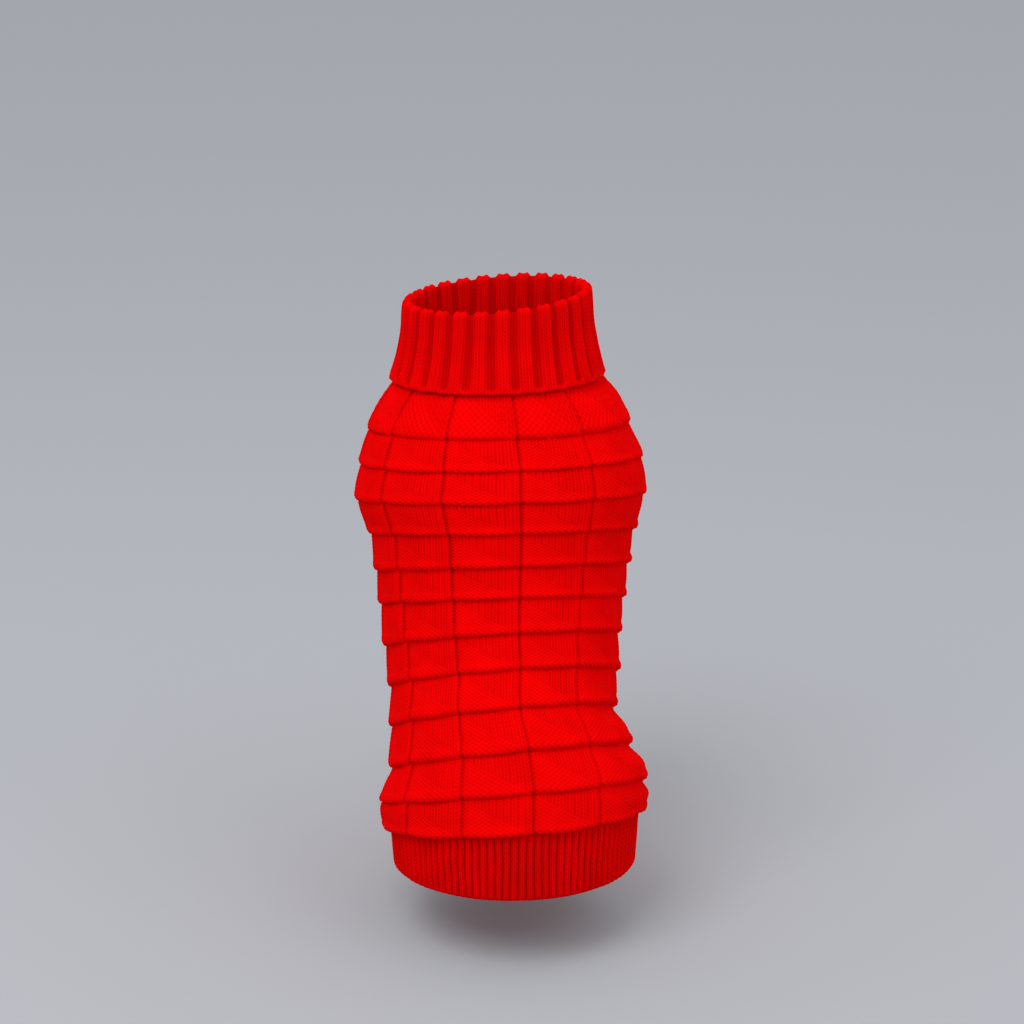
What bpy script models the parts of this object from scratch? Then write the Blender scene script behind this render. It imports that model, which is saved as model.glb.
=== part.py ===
"""Roll-neck dog sweater, knitted, in the hollow shape it holds on a sitting dog.

The body is a tube around a leaning centre line: rings, worked out from the table SECTIONS, follow each
other down that line. Angle 0 on a ring is the middle of the back, 90 degrees is the +X flank, and 180
degrees is the middle of the belly. Two panels, back and belly, are joined along both sides of the belly.
A turned-down collar stands on the neck seam, a rib hem hangs below the last course, and a short rib cuff
lines each leg opening. Lengths are in millimetres up to to_metres(), and the neck seam's centre is the origin.
"""

import math
from collections import namedtuple

import bmesh
import bpy
import numpy as np

MM = 0.001
SEAM_GAP = 0.3

# Cloth
KNIT_WALL = 2.2
RIB_WALL = 2.5
INNER_FOLLOWS = 0.8

# Each ring of the body: how far it lies down the centre line, half its width, how far its middle stands
# to +X, its depth from the middle to the back and to the belly, how far its back edge tips up and how far
# its +X side tips up (degrees), and how far the course that ends there stands out over the one below.
# Between rings every column is read from a smooth curve.
Section = namedtuple("Section", "name drop half_width shift back_depth front_depth lean roll step")
SECTIONS = [
    Section("fold_top", -34, 52.5, -2, 50, 50, 1, 4.5, 0),
    Section("neck_seam", 0, 52.5, -2, 51, 51, 3, 2.5, 1.6),
    Section("collar_edge", 12, 58.5, -2, 57, 56, 4, 1.5, 1.6),
    Section("yoke", 27, 69.5, -1, 65, 65, 6.5, 1.5, 1.8),
    Section("course_1", 42, 76.0, -1, 71, 76, 9, 1.4, 2.0),
    Section("course_2", 62, 82.0, 0, 76, 83, 11, 1.6, 2.0),
    Section("course_3", 84, 84.0, 0, 78, 85, 14, 1.3, 2.0),
    Section("course_4", 104, 77.5, 1, 76, 82, 16, 1.3, 2.2),
    Section("course_5", 125, 74.0, 1, 73, 78, 18, 1.8, 2.2),
    Section("course_6", 145, 71.5, 1, 71, 75, 20, 1.8, 2.4),
    Section("course_7", 168, 69.0, 1, 70, 72, 22.5, 3.6, 2.6),
    Section("course_8", 191, 67.0, 2, 70, 70, 25, 4.5, 2.8),
    Section("course_9", 213, 66.5, 2, 73, 69, 25, 5.7, 2.8),
    Section("course_10", 236, 71.5, 6, 76, 69, 24, 6.3, 2.8),
    Section("course_11", 256, 77.0, 8, 78, 69, 21, 5.4, 2.6),
    Section("hem_seam", 272, 75.5, 8, 78, 67, 16, 4.5, 2.4),
    Section("hem_edge", 297, 73.0, 8, 78, 63, 6, 0.5, 2.4),
]

# Slack that has slid down over the haunches: rolls stand out and creases lie in, each centred at a drop and
# an angle. The -X flank has softer ones than the +X flank.
Fold = namedtuple("Fold", "name drop angle half_height spread lift")
FOLDS = [
    Fold("right_crease_10", 216, 84, 6, 32, -2.0),
    Fold("right_roll_10", 228, 84, 6, 30, 0.4),
    Fold("right_crease_11", 238, 84, 5, 32, -2.2),
    Fold("right_roll_11", 248, 84, 6, 30, 1.2),
    Fold("right_crease_12", 258, 84, 4, 30, -1.6),
    Fold("right_roll_12", 265, 84, 5, 30, 2.0),
    Fold("left_crease_11", 238, -86, 6, 26, -1.2),
    Fold("left_roll_12", 260, -86, 7, 28, 1.6),
]

# Panels
SEAM_ANGLE = 132.0
BACK_COLUMNS = 31
BELLY_COLUMNS = 10
BELLY_INSET = 0.6
COURSE_LIP = 1.0

# Leg openings, on the panel seams of the chest
LEG_DROP = 80.0
LEG_RADIUS = 29.0
LEG_DIRECTION = (0.55, 0.76, -0.35)
LEG_ROWS = 8
CUFF_CLEARANCE = 1.3
CUFF_LENGTH = 13.0
CUFF_INSIDE = 3.5
CUFF_COLUMNS = 28

# Turned-down collar: half-widths of its outer face at four heights, and its wide ribs
CollarRing = namedtuple("CollarRing", "drop half_width")
COLLAR_OUTSIDE = [
    CollarRing(-33, 55.0),
    CollarRing(-14, 56.5),
    CollarRing(4, 60.5),
    CollarRing(12.5, 63.0),
]
COLLAR_INSIDE_INSET = 3.0
COLLAR_LAYER_GAP = 0.6
COLLAR_FOLD_RISE = 3.0
COLLAR_RIBS = 27
COLLAR_RIB_ANGLE = 3.4
COLLAR_RIB_DEPTH = 1.0

# Hem
HEM_SEAM_INSET = 1.6
HEM_INSET = 3.0
HEM_GATHER = 3.0
HEM_COLUMNS = 60

RED = (0.745, 0.002, 0.004, 1.0)
RIB_RED = (0.62, 0.002, 0.004, 1.0)
WOOL_ROUGHNESS = 0.95


# ---- the ring and its place -------------------------------------------------------------------------


def curve_through(xs, ys, x):
    """Cubic curve through the points (xs, ys), with the slope at each taken from its two neighbours."""
    xs = np.asarray(xs, float)
    ys = np.asarray(ys, float)
    slopes = np.gradient(ys, xs)
    k = int(np.clip(np.searchsorted(xs, x) - 1, 0, len(xs) - 2))
    width = xs[k + 1] - xs[k]
    t = float(np.clip((x - xs[k]) / width, 0.0, 1.0))
    rise = ys[k] * (1 + 2 * t) * (1 - t) ** 2 + ys[k + 1] * t * t * (3 - 2 * t)
    return rise + width * (slopes[k] * t * (1 - t) ** 2 - slopes[k + 1] * t * t * (1 - t))


def section_value(column, drop):
    drops = [section.drop for section in SECTIONS]
    values = [getattr(section, column) for section in SECTIONS]
    return curve_through(drops, values, drop)


def fold_lift(drop, angle):
    """How far the folds push the cloth out at this place."""
    lift = 0.0
    for fold in FOLDS:
        down = (drop - fold.drop) / fold.half_height
        round_body = ((angle - fold.angle + 180) % 360 - 180) / fold.spread
        lift += fold.lift * math.exp(-(down**2) - round_body**2)
    return lift


def centre_line():
    """The y and z of the ring centres, summed down from the neck seam a millimetre at a time."""
    first = int(SECTIONS[0].drop) - 8
    drops = np.arange(first, int(SECTIONS[-1].drop) + 2, 1.0)
    leans = np.radians([section_value("lean", drop) for drop in drops])
    y = -np.cumsum(np.sin(leans))
    z = -np.cumsum(np.cos(leans))
    start = int(-first)
    return drops, y - y[start], z - z[start]


CENTRES = centre_line()


def ring_point(drop, angle, offset=0.0, half_width=None):
    """A point of the ring at drop, offset outwards. half_width replaces the body's own, as for the collar."""
    drops, ys, zs = CENTRES
    width = section_value("half_width", drop)
    back = section_value("back_depth", drop)
    front = section_value("front_depth", drop)
    offset += fold_lift(drop, angle)
    if half_width is not None:
        back += half_width - width
        front += half_width - width
        width = half_width
    lean = math.radians(section_value("lean", drop))
    roll = math.radians(section_value("roll", drop))
    turn = math.radians(angle)
    across = (width + offset) * math.sin(turn)
    depth = ((back if math.cos(turn) > 0 else front) + offset) * math.cos(turn)
    x = section_value("shift", drop) + across * math.cos(roll)
    y = np.interp(drop, drops, ys) - depth * math.cos(lean)
    z = np.interp(drop, drops, zs) + depth * math.sin(lean) + across * math.sin(roll)
    return np.array((x, y, z))


# ---- leg openings -----------------------------------------------------------------------------------


def unit(vector):
    vector = np.asarray(vector, float)
    return vector / np.linalg.norm(vector)


def leg_axis(side):
    """A point on the leg's axis and its direction. side is +1 for the +X leg and -1 for the other."""
    direction = unit(LEG_DIRECTION) * (side, 1, 1)
    return ring_point(LEG_DROP, side * SEAM_ANGLE), direction


def from_leg_axis(point, side):
    start, direction = leg_axis(side)
    away = point - start
    return away - direction * np.dot(away, direction)


def distance_from_leg(point, side):
    return float(np.linalg.norm(from_leg_axis(point, side)))


def bisect(inside, outside, is_inside):
    for _ in range(36):
        middle = (inside + outside) / 2
        if is_inside(middle):
            inside = middle
        else:
            outside = middle
    return (inside + outside) / 2


def in_leg(drop, angle, offset, side):
    return distance_from_leg(ring_point(drop, angle, offset), side) < LEG_RADIUS


def leg_span(side, offset=0.0):
    """The two drops between which the panel seam runs through the leg opening."""
    ends = []
    for reach in (-1.6, 1.6):
        far = LEG_DROP + reach * LEG_RADIUS
        ends.append(bisect(LEG_DROP, far, lambda d: in_leg(d, side * SEAM_ANGLE, offset, side)))
    return ends


def panel_edge(drop, offset, side, towards):
    """The angle, without its sign, at which a panel ends beside its seam or the leg opening.

    towards is the side of the seam that the panel lies on: -1 for the back panel and +1 for the belly panel.
    """
    gap = math.degrees(SEAM_GAP / 2 / section_value("half_width", drop))
    edge = SEAM_ANGLE + towards * gap
    if not in_leg(drop, side * edge, offset, side):
        return edge
    far = SEAM_ANGLE + towards * 40
    return bisect(edge, far, lambda a: in_leg(drop, side * a, offset, side))


# ---- mesh tools -------------------------------------------------------------------------------------


def to_metres(points):
    return [tuple(float(c) * MM for c in point) for point in points]


def make_material(name, colour):
    material = bpy.data.materials.new(name)
    material.use_nodes = True
    shader = material.node_tree.nodes["Principled BSDF"]
    shader.inputs["Base Color"].default_value = colour
    shader.inputs["Roughness"].default_value = WOOL_ROUGHNESS
    shader.inputs["Metallic"].default_value = 0.0
    return material


def make_object(name, points, faces, colour):
    mesh = bpy.data.meshes.new(name)
    mesh.from_pydata(to_metres(points), [], faces)
    shape = bmesh.new()
    shape.from_mesh(mesh)
    bmesh.ops.triangulate(shape, faces=shape.faces)
    bmesh.ops.recalc_face_normals(shape, faces=shape.faces)
    shape.to_mesh(mesh)
    shape.free()
    mesh.shade_smooth()
    mesh.set_sharp_from_angle(angle=math.radians(40))
    mesh.materials.append(make_material(name, colour))
    thing = bpy.data.objects.new(name, mesh)
    bpy.context.scene.collection.objects.link(thing)
    return thing


def grid_faces(rows, columns, first=0, wrap=False):
    """Quads of a grid whose points are numbered along each row in turn."""
    faces = []
    for row in range(rows - 1):
        for column in range(columns if wrap else columns - 1):
            here = first + row * columns + column
            right = first + row * columns + (column + 1) % columns
            faces.append((here, right, right + columns, here + columns))
    return faces


def sheet_solid(outer, inner):
    """Closes two grids of the same size, outer and inner, into one wall."""
    rows, columns, _ = outer.shape
    count = rows * columns
    points = np.concatenate([outer.reshape(-1, 3), inner.reshape(-1, 3)])
    faces = grid_faces(rows, columns)
    faces += [tuple(reversed(face)) for face in grid_faces(rows, columns, count)]
    border = [column for column in range(columns)]
    border += [row * columns + columns - 1 for row in range(1, rows)]
    border += [(rows - 1) * columns + column for column in range(columns - 2, -1, -1)]
    border += [row * columns for row in range(rows - 2, 0, -1)]
    for here, after in zip(border, border[1:] + border[:1]):
        faces.append((after, here, here + count, after + count))
    return points, faces


def loop_solid(loops):
    """Closes rings that go once round a tube's section, each a (columns, 3) array, into one wall."""
    columns = len(loops[0])
    points = np.concatenate(list(loops) + [loops[0]])
    faces = []
    for face in grid_faces(len(loops) + 1, columns, wrap=True):
        faces.append(tuple(corner % (len(loops) * columns) for corner in face))
    return points[: len(loops) * columns], faces


# ---- panels -----------------------------------------------------------------------------------------


def course_ends():
    """The drops of the course edges, from the neck seam to the hem seam."""
    edges = [section.drop for section in SECTIONS if section.name.startswith("course_")]
    names = {section.name: section.drop for section in SECTIONS}
    return [names["neck_seam"]] + edges + [names["hem_seam"]]


def course_rows():
    """(drop, offset of the outer face) of the rows that shape the courses: set back, swelling, standing out."""
    ends = course_ends()
    rows = []
    for top, bottom in zip(ends[:-1], ends[1:]):
        step = section_value("step", top)
        rows.append((top + COURSE_LIP, -step))
        rows.append(((top + bottom) / 2, -0.3 * step))
        rows.append((bottom, 0.0))
    rows[0] = (ends[0] + SEAM_GAP, rows[0][1])
    return rows


def with_leg_rows(rows):
    """Adds rows that round off the leg openings, at offsets between those of the rows around them."""
    drops, offsets = zip(*rows)
    added = list(rows)
    for side in (1, -1):
        top, bottom = leg_span(side)
        for k in range(LEG_ROWS + 1):
            drop = top + (bottom - top) * (1 - math.cos(math.pi * k / LEG_ROWS)) / 2
            if min(abs(drop - row[0]) for row in added) > COURSE_LIP:
                added.append((drop, float(np.interp(drop, drops, offsets))))
    return sorted(added)


def back_panel():
    outer, inner = [], []
    for drop, offset in with_leg_rows(course_rows()):
        for line, depth in ((outer, offset), (inner, INNER_FOLLOWS * offset - KNIT_WALL)):
            left = -panel_edge(drop, depth, -1, -1)
            right = panel_edge(drop, depth, 1, -1)
            angles = np.linspace(left, right, BACK_COLUMNS + 1)
            line.append([ring_point(drop, angle, depth) for angle in angles])
    return make_object("back_panel", *sheet_solid(np.array(outer), np.array(inner)), RED)


def belly_panel():
    ends = course_ends()
    rows = [(ends[0] + SEAM_GAP, -BELLY_INSET)] + [(drop, -BELLY_INSET) for drop in ends[1:]]
    outer, inner = [], []
    for drop, offset in with_leg_rows(rows):
        for line, depth in ((outer, offset), (inner, offset - KNIT_WALL)):
            right = panel_edge(drop, depth, 1, 1)
            left = 360 - panel_edge(drop, depth, -1, 1)
            angles = np.linspace(right, left, BELLY_COLUMNS + 1)
            line.append([ring_point(drop, angle, depth) for angle in angles])
    return make_object("belly_panel", *sheet_solid(np.array(outer), np.array(inner)), RED)


# ---- collar -----------------------------------------------------------------------------------------


def collar_outside(drop):
    drops = [ring.drop for ring in COLLAR_OUTSIDE]
    widths = [ring.half_width for ring in COLLAR_OUTSIDE]
    return curve_through(drops, widths, drop)


def collar_section():
    """(drop, half-width, share of the rib depth) round the collar's folded wall, from the neck seam upwards."""
    top = COLLAR_OUTSIDE[0].drop
    bottom = COLLAR_OUTSIDE[-1].drop
    inner_face = section_value("half_width", 0) - COLLAR_INSIDE_INSET
    inner_back = inner_face + RIB_WALL
    crest = (inner_face + collar_outside(top)) / 2
    section = [
        (0.0, inner_face, 0.0),
        (top / 2, inner_face, 0.0),
        (top, inner_face, 0.0),
        (top - 0.8 * COLLAR_FOLD_RISE, (inner_face + crest) / 2, 0.0),
        (top - COLLAR_FOLD_RISE, crest, 0.3),
        (top - 0.7 * COLLAR_FOLD_RISE, (crest + collar_outside(top)) / 2, 0.7),
    ]
    for ring in COLLAR_OUTSIDE:
        section.append((ring.drop, ring.half_width, 1.0))
    for ring in reversed(COLLAR_OUTSIDE[1:]):
        section.append((ring.drop, ring.half_width - RIB_WALL, 0.0))
    section.append((top + 4, inner_back + COLLAR_LAYER_GAP, 0.0))
    section.append((top + 4, inner_back, 0.0))
    section.append((top / 2, inner_back, 0.0))
    section.append((0.0, inner_back, 0.0))
    return section


def collar():
    """The outer layer's ribs stand on every other column."""
    columns = 2 * COLLAR_RIBS
    angles = [COLLAR_RIB_ANGLE + 360 * k / columns for k in range(columns)]
    loops = []
    for drop, half_width, rib in collar_section():
        loop = []
        for k, angle in enumerate(angles):
            sink = rib * COLLAR_RIB_DEPTH * (k % 2)
            loop.append(ring_point(drop, angle, -sink, half_width))
        loops.append(np.array(loop))
    return make_object("collar", *loop_solid(loops), RIB_RED)


# ---- hem and cuffs ----------------------------------------------------------------------------------


def hem_band():
    names = {section.name: section.drop for section in SECTIONS}
    top = names["hem_seam"] + SEAM_GAP
    bottom = names["hem_edge"]
    face = -HEM_INSET
    back = -HEM_INSET - RIB_WALL
    middle = (top + bottom) / 2
    section = [
        (top, -HEM_SEAM_INSET),
        (top + HEM_GATHER, face),
        (middle, face),
        (bottom - 1, face),
        (bottom, (face + back) / 2),
        (bottom - 1, back),
        (middle, back),
        (top + HEM_GATHER, back),
        (top, -HEM_SEAM_INSET - RIB_WALL),
    ]
    angles = [360 * k / HEM_COLUMNS for k in range(HEM_COLUMNS)]
    loops = []
    for drop, offset in section:
        loops.append(np.array([ring_point(drop, angle, offset) for angle in angles]))
    return make_object("hem_band", *loop_solid(loops), RIB_RED)


def leg_cuff(name, side):
    """A short tube through the leg opening, square to nothing but the leg: its ends follow the chest."""
    start, direction = leg_axis(side)
    radius = LEG_RADIUS - CUFF_CLEARANCE
    per_degree = math.radians(section_value("half_width", LEG_DROP))
    foot, reach = [], []
    for k in range(CUFF_COLUMNS):
        turn = 2 * math.pi * k / CUFF_COLUMNS

        def on_chest(distance):
            drop = LEG_DROP + distance * math.cos(turn)
            angle = side * SEAM_ANGLE + distance * math.sin(turn) / per_degree
            return ring_point(drop, angle, 0.0)

        far = bisect(0.0, 2 * radius, lambda d: distance_from_leg(on_chest(d), side) < radius)
        foot.append(on_chest(far))
        reach.append(unit(from_leg_axis(foot[-1], side)))
    foot = np.array(foot)
    reach = np.array(reach)
    section = [
        (0.0, -CUFF_INSIDE),
        (0.0, CUFF_LENGTH - 1),
        (-RIB_WALL / 2, CUFF_LENGTH),
        (-RIB_WALL, CUFF_LENGTH - 1),
        (-RIB_WALL, -CUFF_INSIDE),
    ]
    loops = [foot + reach * out + direction * along for out, along in section]
    return make_object(name, *loop_solid(loops), RIB_RED)


# ---- the sweater ------------------------------------------------------------------------------------


def clear_scene():
    for thing in list(bpy.data.objects):
        bpy.data.objects.remove(thing, do_unlink=True)


clear_scene()
back_panel()
belly_panel()
collar()
hem_band()
leg_cuff("leg_cuff_left", -1)
leg_cuff("leg_cuff_right", 1)
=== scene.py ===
import math
from collections import namedtuple

import bpy
import numpy as np
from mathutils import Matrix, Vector


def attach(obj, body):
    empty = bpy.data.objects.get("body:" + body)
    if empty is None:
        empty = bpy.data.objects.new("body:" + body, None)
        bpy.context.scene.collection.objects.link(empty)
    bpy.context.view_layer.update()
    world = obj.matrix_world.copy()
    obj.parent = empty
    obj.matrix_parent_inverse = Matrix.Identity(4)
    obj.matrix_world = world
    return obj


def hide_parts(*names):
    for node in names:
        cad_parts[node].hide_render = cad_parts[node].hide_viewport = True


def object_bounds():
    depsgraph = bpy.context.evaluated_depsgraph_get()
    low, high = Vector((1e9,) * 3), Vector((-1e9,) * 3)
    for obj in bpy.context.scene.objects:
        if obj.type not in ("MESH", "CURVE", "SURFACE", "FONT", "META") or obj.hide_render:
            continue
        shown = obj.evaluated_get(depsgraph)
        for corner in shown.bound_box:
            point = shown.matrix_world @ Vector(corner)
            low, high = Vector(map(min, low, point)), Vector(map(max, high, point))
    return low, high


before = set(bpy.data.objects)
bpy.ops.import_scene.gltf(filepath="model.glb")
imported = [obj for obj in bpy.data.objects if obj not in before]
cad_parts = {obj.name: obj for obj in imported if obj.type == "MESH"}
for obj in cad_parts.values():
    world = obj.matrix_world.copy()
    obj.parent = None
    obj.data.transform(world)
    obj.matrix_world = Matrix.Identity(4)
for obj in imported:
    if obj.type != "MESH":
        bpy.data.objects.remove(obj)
cad_low, cad_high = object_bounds()

# ---- View, floor and light ---------------------------------------------------------------------------
# The sweater keeps the hollow shape it is worn in and is seen from behind and a little above. It hangs a
# little way over a plain pale floor that runs out of sight, in broad soft studio light.

MM = 0.001
AIM_FROM_MIDDLE = Vector((6.5, 1.5, 40.3)) * MM
VIEW_ELEVATION = math.radians(18)
VIEW_DISTANCE = 1600 * MM
VIEW_LENS = 97.3

aim = (cad_low + cad_high) / 2 + AIM_FROM_MIDDLE
towards_camera = Vector((0, -math.cos(VIEW_ELEVATION), math.sin(VIEW_ELEVATION)))
camera = bpy.data.objects.new("camera", bpy.data.cameras.new("camera"))
camera.data.lens = VIEW_LENS
camera.location = aim + towards_camera * VIEW_DISTANCE
camera.rotation_euler = (-towards_camera).to_track_quat("-Z", "Y").to_euler()
bpy.context.scene.collection.objects.link(camera)
bpy.context.scene.camera = camera
bpy.context.scene.view_settings.view_transform = "Standard"

FLOOR_BELOW_HEM = 30 * MM
FLOOR_REACH = 9.0
FLOOR_GREY = (0.40, 0.415, 0.445, 1.0)
FLOOR_ROUGHNESS = 0.9
FLOOR_SPECULAR = 0.1
ROOM_LIGHT = (0.98, 0.99, 1.0, 1.0)
ROOM_STRENGTH = 0.88
Lamp = namedtuple("Lamp", "name azimuth elevation distance size power")
LAMPS = [
    Lamp("key_softbox", -35, 55, 2.2, 1.4, 22),
    Lamp("fill_softbox", 55, 30, 2.4, 1.8, 7),
]


def plain_floor():
    height = cad_low.z - FLOOR_BELOW_HEM
    corners = [
        (FLOOR_REACH * x, FLOOR_REACH * y, height)
        for x, y in ((-1, -1), (1, -1), (1, 1), (-1, 1))
    ]
    mesh = bpy.data.meshes.new("floor")
    mesh.from_pydata(corners, [], [(0, 1, 2, 3)])
    material = bpy.data.materials.new("pale_floor")
    material.use_nodes = True
    shader = material.node_tree.nodes["Principled BSDF"]
    shader.inputs["Base Color"].default_value = FLOOR_GREY
    shader.inputs["Roughness"].default_value = FLOOR_ROUGHNESS
    shader.inputs["Specular IOR Level"].default_value = FLOOR_SPECULAR
    mesh.materials.append(material)
    floor = bpy.data.objects.new("floor", mesh)
    bpy.context.scene.collection.objects.link(floor)


def studio_light():
    world = bpy.data.worlds.new("studio")
    world.use_nodes = True
    sky = world.node_tree.nodes["Background"]
    sky.inputs["Color"].default_value = ROOM_LIGHT
    sky.inputs["Strength"].default_value = ROOM_STRENGTH
    bpy.context.scene.world = world
    for lamp in LAMPS:
        light = bpy.data.lights.new(lamp.name, "AREA")
        light.size = lamp.size
        light.energy = lamp.power
        turn = math.radians(lamp.azimuth)
        rise = math.radians(lamp.elevation)
        away = Vector((math.sin(turn) * math.cos(rise), -math.cos(turn) * math.cos(rise), math.sin(rise)))
        holder = bpy.data.objects.new(lamp.name, light)
        holder.location = aim + away * lamp.distance
        holder.rotation_euler = (-away).to_track_quat("-Z", "Y").to_euler()
        bpy.context.scene.collection.objects.link(holder)


plain_floor()
studio_light()

# ---- Back panel --------------------------------------------------------------------------------------
# The large panel over the back and both flanks, machine knitted in soft red yarn. Twelve courses of pennant
# blocks, ten stitches by ten rows: knit in the upper right half of each block, purl in the lower left half.
# The purl foot of each course curls out over the course below.

Section = namedtuple("Section", "name drop half_width shift back_depth front_depth lean roll step")
SECTIONS = [
    Section("fold_top", -34, 52.5, -2, 50, 50, 1, 4.5, 0),
    Section("neck_seam", 0, 52.5, -2, 51, 51, 3, 2.5, 1.6),
    Section("collar_edge", 12, 58.5, -2, 57, 56, 4, 1.5, 1.6),
    Section("yoke", 27, 69.5, -1, 65, 65, 6.5, 1.5, 1.8),
    Section("course_1", 42, 76.0, -1, 71, 76, 9, 1.4, 2.0),
    Section("course_2", 62, 82.0, 0, 76, 83, 11, 1.6, 2.0),
    Section("course_3", 84, 84.0, 0, 78, 85, 14, 1.3, 2.0),
    Section("course_4", 104, 77.5, 1, 76, 82, 16, 1.3, 2.2),
    Section("course_5", 125, 74.0, 1, 73, 78, 18, 1.8, 2.2),
    Section("course_6", 145, 71.5, 1, 71, 75, 20, 1.8, 2.4),
    Section("course_7", 168, 69.0, 1, 70, 72, 22.5, 3.6, 2.6),
    Section("course_8", 191, 67.0, 2, 70, 70, 25, 4.5, 2.8),
    Section("course_9", 213, 66.5, 2, 73, 69, 25, 5.7, 2.8),
    Section("course_10", 236, 71.5, 6, 76, 69, 24, 6.3, 2.8),
    Section("course_11", 256, 77.0, 8, 78, 69, 21, 5.4, 2.6),
    Section("hem_seam", 272, 75.5, 8, 78, 67, 16, 4.5, 2.4),
    Section("hem_edge", 297, 73.0, 8, 78, 63, 6, 0.5, 2.4),
]
DROPS = {section.name: section.drop for section in SECTIONS}

Fold = namedtuple("Fold", "name drop angle half_height spread lift")
FOLDS = [
    Fold("right_crease_10", 216, 84, 6, 32, -2.0),
    Fold("right_roll_10", 228, 84, 6, 30, 0.4),
    Fold("right_crease_11", 238, 84, 5, 32, -2.2),
    Fold("right_roll_11", 248, 84, 6, 30, 1.2),
    Fold("right_crease_12", 258, 84, 4, 30, -1.6),
    Fold("right_roll_12", 265, 84, 5, 30, 2.0),
    Fold("left_crease_11", 238, -86, 6, 26, -1.2),
    Fold("left_roll_12", 260, -86, 7, 28, 1.6),
]


def curve_through(xs, ys, x):
    """Smooth curve through the points (xs, ys), with the slope at each taken from its two neighbours."""
    xs = np.asarray(xs, float)
    ys = np.asarray(ys, float)
    slopes = np.gradient(ys, xs)
    k = np.clip(np.searchsorted(xs, x) - 1, 0, len(xs) - 2)
    width = xs[k + 1] - xs[k]
    t = np.clip((x - xs[k]) / width, 0.0, 1.0)
    rise = ys[k] * (1 + 2 * t) * (1 - t) ** 2 + ys[k + 1] * t * t * (3 - 2 * t)
    return rise + width * (slopes[k] * t * (1 - t) ** 2 - slopes[k + 1] * t * t * (1 - t))


def form(column, drop):
    drops = [section.drop for section in SECTIONS]
    return curve_through(drops, [getattr(section, column) for section in SECTIONS], drop)


ABOVE_FIRST_RING = 8


def centre_line():
    """The drops, and the y and z of the ring centres there, summed down a millimetre at a time from above the
    first ring and then moved so that the neck seam, at drop 0, is at the origin."""
    first = SECTIONS[0].drop - ABOVE_FIRST_RING
    drops = np.arange(first, SECTIONS[-1].drop + 2, 1.0)
    leans = np.radians(form("lean", drops))
    y = -np.cumsum(np.sin(leans))
    z = -np.cumsum(np.cos(leans))
    return drops, y - y[-first], z - z[-first]


CENTRES = centre_line()


def ring_points(drop, angle, offset=0.0, half_width=None):
    """Points in millimetres on the body's rings, offset outwards. Angle 0 is the middle of the back, and 90
    the +X flank. half_width replaces the body's own, as for the collar."""
    drop, angle, offset = np.broadcast_arrays(drop, angle, offset)
    width = form("half_width", drop)
    back = form("back_depth", drop)
    front = form("front_depth", drop)
    lift = offset.astype(float)
    for fold in FOLDS:
        round_body = ((angle - fold.angle + 180) % 360 - 180) / fold.spread
        lift = lift + fold.lift * np.exp(-(((drop - fold.drop) / fold.half_height) ** 2) - round_body**2)
    if half_width is not None:
        back = back + half_width - width
        front = front + half_width - width
        width = half_width
    lean = np.radians(form("lean", drop))
    roll = np.radians(form("roll", drop))
    turn = np.radians(angle)
    across = (width + lift) * np.sin(turn)
    depth = (np.where(np.cos(turn) > 0, back, front) + lift) * np.cos(turn)
    x = form("shift", drop) + across * np.cos(roll)
    y = np.interp(drop, CENTRES[0], CENTRES[1]) - depth * np.cos(lean)
    z = np.interp(drop, CENTRES[0], CENTRES[2]) + depth * np.sin(lean) + across * np.sin(roll)
    return np.stack([x, y, z], axis=-1)


SEAM_ANGLE = 132.0
SEAM_GAP = 0.3
LEG_DROP = 80.0
LEG_RADIUS = 29.0
LEG_DIRECTION = (0.55, 0.76, -0.35)
LEG_SEARCH_ANGLE = 40
HALVINGS = 36


def leg_axis(side):
    """A point on the leg's axis and its direction. side is +1 for the +X leg and -1 for the other."""
    direction = np.array(LEG_DIRECTION) / np.linalg.norm(LEG_DIRECTION) * (side, 1, 1)
    return ring_points(LEG_DROP, side * SEAM_ANGLE), direction


def from_leg_axis(points, side):
    start, direction = leg_axis(side)
    away = points - start
    return away - (away @ direction)[..., None] * direction


def bisect(inside, outside, is_inside):
    """The places, one for each entry, where is_inside stops being true between inside and outside."""
    for _ in range(HALVINGS):
        middle = (inside + outside) / 2
        hit = is_inside(middle)
        inside = np.where(hit, middle, inside)
        outside = np.where(hit, outside, middle)
    return (inside + outside) / 2


def panel_edge(drop, offset, side, towards):
    """The angle, without its sign, at which a panel ends beside its seam or the leg opening. towards is -1
    for the back panel and +1 for the belly panel."""
    edge = SEAM_ANGLE + towards * np.degrees(SEAM_GAP / 2 / form("half_width", drop))

    def in_leg(angle):
        away = from_leg_axis(ring_points(drop, side * angle, offset), side)
        return np.linalg.norm(away, axis=-1) < LEG_RADIUS

    far = np.full_like(edge, SEAM_ANGLE + towards * LEG_SEARCH_ANGLE)
    return np.where(in_leg(edge), bisect(edge, far, in_leg), edge)


COURSE_ENDS = [DROPS["neck_seam"]]
COURSE_ENDS += [section.drop for section in SECTIONS if section.name.startswith("course_")]
COURSE_ENDS += [DROPS["hem_seam"]]
KNIT_WALL = 2.2
INNER_FOLLOWS = 0.8
BLOCK_STITCHES = 10
BLOCK_ROWS = 10
PANEL_STITCHES = 85
FIRST_BLOCK_CUT = 5
STEPS_A_STITCH = 4
STEPS_A_ROW = 2
INNER_STEPS = 4
SQUEEZE_FROM = 88.0
COURSE_TUCK = 0.7
COURSE_FLARE = 1.75
STEP_SHOWN = 0.8
ROLL_LIFT = 0.8
ROLL_CENTRE = 0.9
ROLL_HEIGHT = 0.11
ROLL_UNEVEN = (0.8, 1.2)
ROLL_FADE = 0.55
ROLL_FADE_FROM = 8.2
ROLL_FADE_STITCHES = 1.2
ROLL_TUCK = 1.3
ROLL_TUCK_FROM = 0.94
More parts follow.
